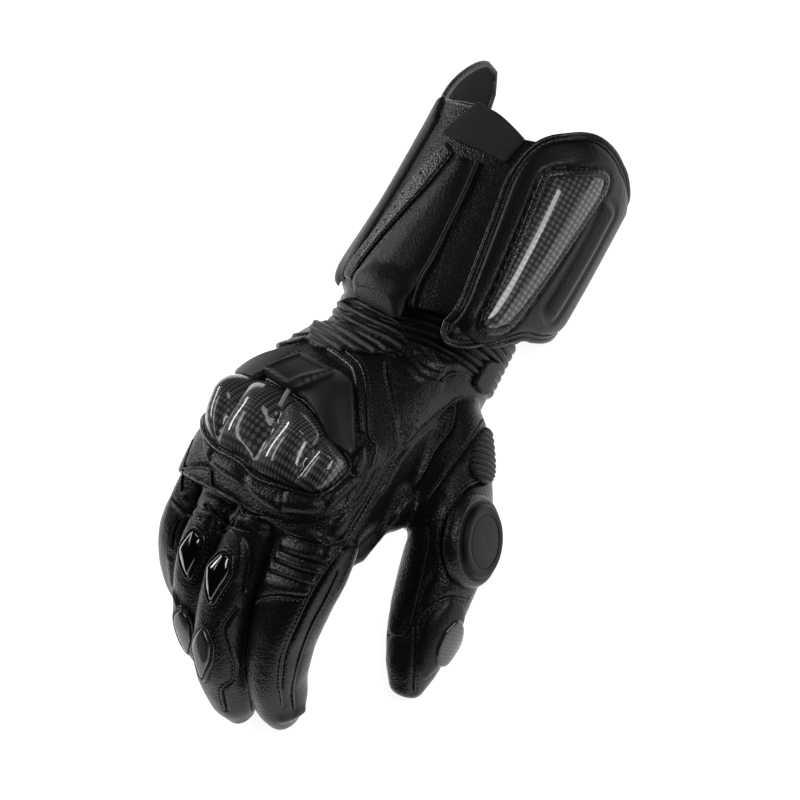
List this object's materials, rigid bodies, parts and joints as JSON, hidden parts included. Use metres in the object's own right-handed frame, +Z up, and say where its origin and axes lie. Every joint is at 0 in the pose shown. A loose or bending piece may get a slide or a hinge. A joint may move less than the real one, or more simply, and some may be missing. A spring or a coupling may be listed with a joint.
{
  "type": "motorcycle glove",
  "caption": "Long black leather riding glove with ribbed wrist, gauntlet cuff with a closure flap, domed knuckle guard and hard finger and thumb sliders.",
  "frame": {"origin": "on the table the glove rests on, under the middle of its length and breadth", "axes": "+Y from the fingers to the cuff's mouth, +X to the thumb's side, +Z up from the palm to the back of the hand"},
  "size_m": [0.1496, 0.3128, 0.0938],
  "materials": {
    "leather": "grained, semi-gloss",
    "textile": "stretch weave, matt",
    "woven_look": "twill weave pattern under clear gloss",
    "matte_armour": "satin",
    "gloss_armour": "polished"
  },
  "bodies": {
    "root": {"hand_back": "leather", "hand_palm": "leather", "thumb": "leather", "finger_index": "leather", "finger_middle": "leather", "finger_ring": "leather", "finger_little": "leather", "cuff_shell": "leather", "cuff_back_pad": "leather", "cuff_vent_strip": "leather", "cuff_seam_roll": "leather", "cuff_welt": "leather", "cuff_flap": "leather", "flap_side_panel": "leather", "knuckle_skirt": "leather", "thumb_collar": "leather", "thumb_tip_pad": "leather", "thumb_ribs": "leather", "cuff_stretch_panel": "textile", "wrist_bellows": "textile", "wrist_strap": "textile", "flap_plate": "woven_look", "knuckle_guard": "woven_look", "insert_middle": "woven_look", "insert_ring": "woven_look", "thumb_insert": "woven_look", "knuckle_shield": "matte_armour", "knuckle_scoop": "matte_armour", "thumb_disc": "matte_armour", "slider_middle": "gloss_armour", "slider_ring": "gloss_armour"}
  },
  "joints": []
}
